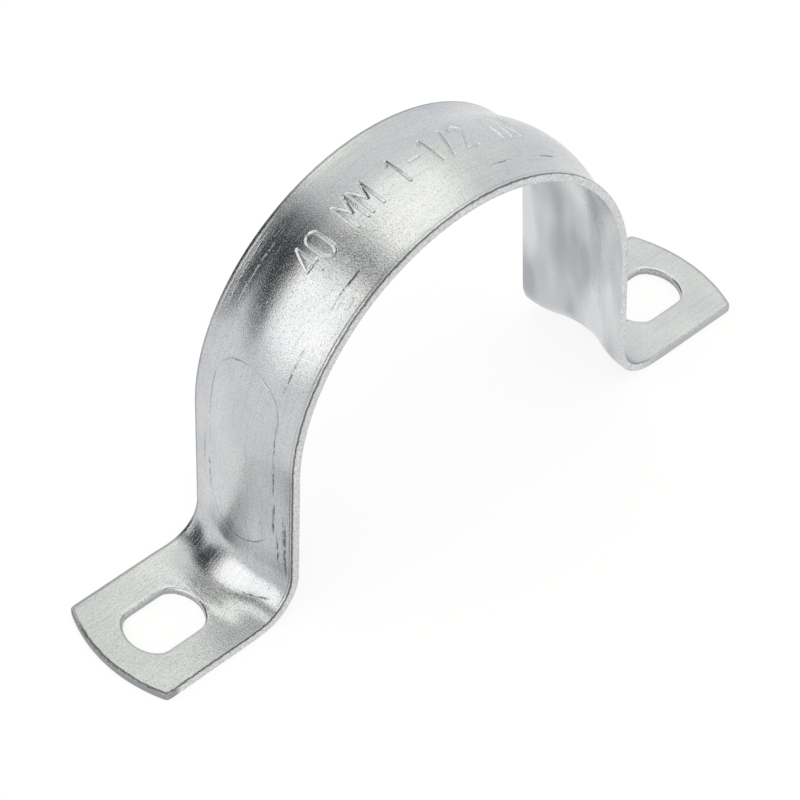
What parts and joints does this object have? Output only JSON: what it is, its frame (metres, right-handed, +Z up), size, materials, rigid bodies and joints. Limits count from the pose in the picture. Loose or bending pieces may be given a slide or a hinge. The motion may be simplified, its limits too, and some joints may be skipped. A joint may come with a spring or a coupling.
{
  "type": "conduit strap",
  "caption": "Two-hole pipe strap: a crowned arch of zinc-plated sheet steel that bends out into flat feet with flat-sided screw holes.",
  "frame": {"origin": "under the middle of the arch, on the plane that both feet rest on", "axes": "+X from foot to foot, +Y along the pipe, +Z up, away from the wall that the strap is screwed to"},
  "size_m": [0.0756, 0.0138, 0.0378],
  "materials": {
    "zinc_plated_steel": "satin zinc plating, faintly grainy"
  },
  "bodies": {
    "root": {"strap": "zinc_plated_steel"}
  },
  "joints": []
}
